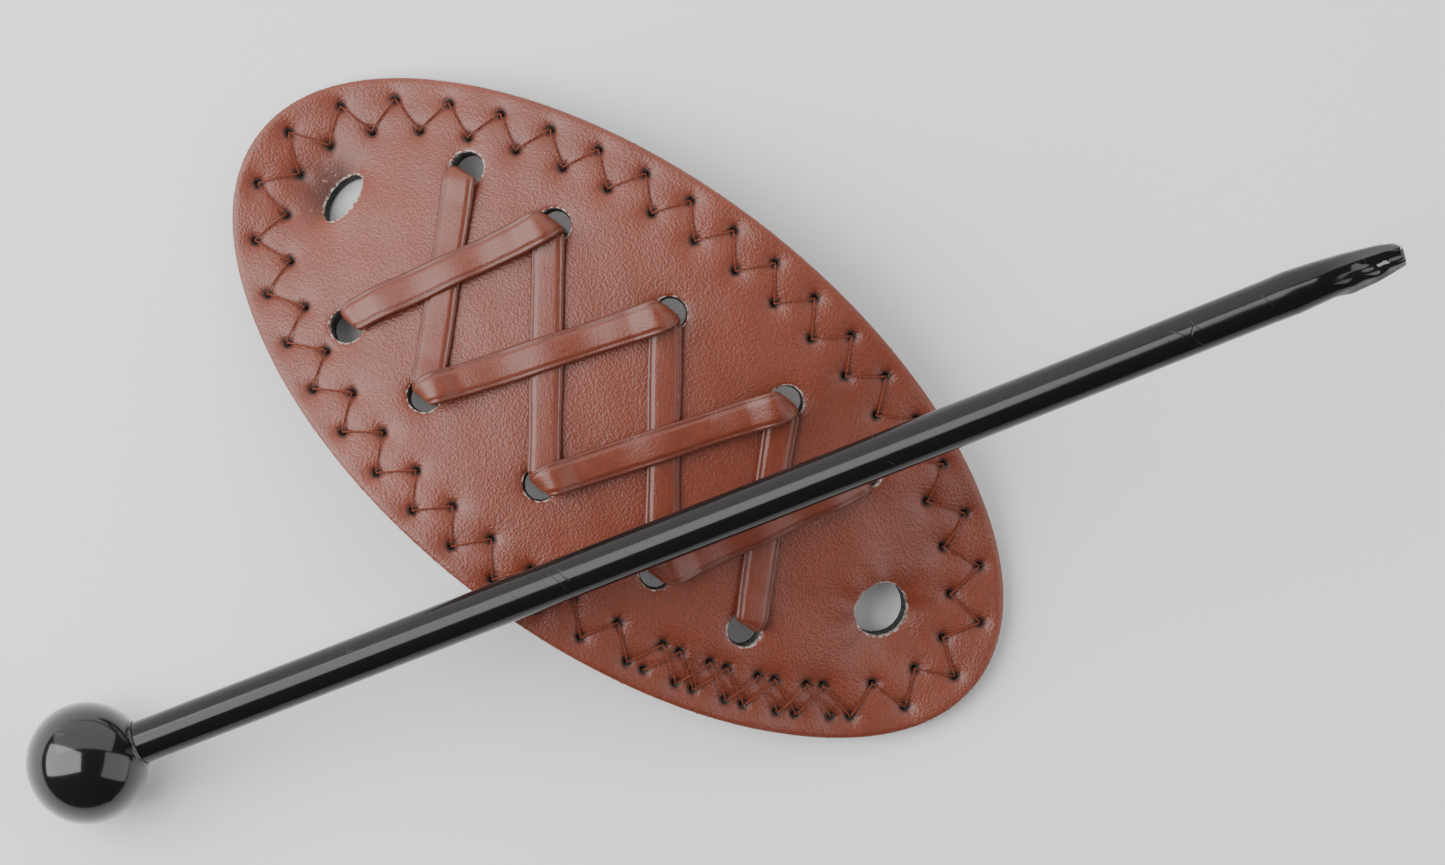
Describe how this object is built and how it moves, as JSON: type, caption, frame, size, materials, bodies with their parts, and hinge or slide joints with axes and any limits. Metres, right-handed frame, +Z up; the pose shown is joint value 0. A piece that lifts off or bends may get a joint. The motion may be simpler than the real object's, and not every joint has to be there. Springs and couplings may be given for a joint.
{
  "type": "laced hair slide with stick",
  "caption": "Bent oval hair slide of laminated imitation leather with zigzag seam, cross lacing and two holes, and the ball-ended stick that pins it through a bun.",
  "frame": {"origin": "on the table under the middle of the oval", "axes": "+X along the oval, +Y across it, +Z up from the table"},
  "size_m": [0.1197, 0.1527, 0.0421],
  "materials": {
    "brown_leather": "finely pebbled imitation leather with a soft sheen",
    "dark_board": "matt pressed fibre board, furry where it is cut",
    "dark_lining": "matt fine-grained imitation leather",
    "rust_thread": "twisted polyester thread",
    "brown_lace": "smooth imitation leather lace with rolled edges",
    "black_plastic": "polished black plastic"
  },
  "bodies": {
    "slide": {"front_panel": "brown_leather", "stiffener": "dark_board", "back_lining": "dark_lining", "needle_thread": "rust_thread", "bobbin_thread": "rust_thread", "lace": "brown_lace"},
    "stick": {"stick_shaft": "black_plastic", "stick_ball": "black_plastic"}
  },
  "joints": [
    {"name": "stick_lift", "type": "slide", "parent": "slide", "child": "stick", "axis": [0, 0, 1], "range_m": [0, 0.06]}
  ]
}
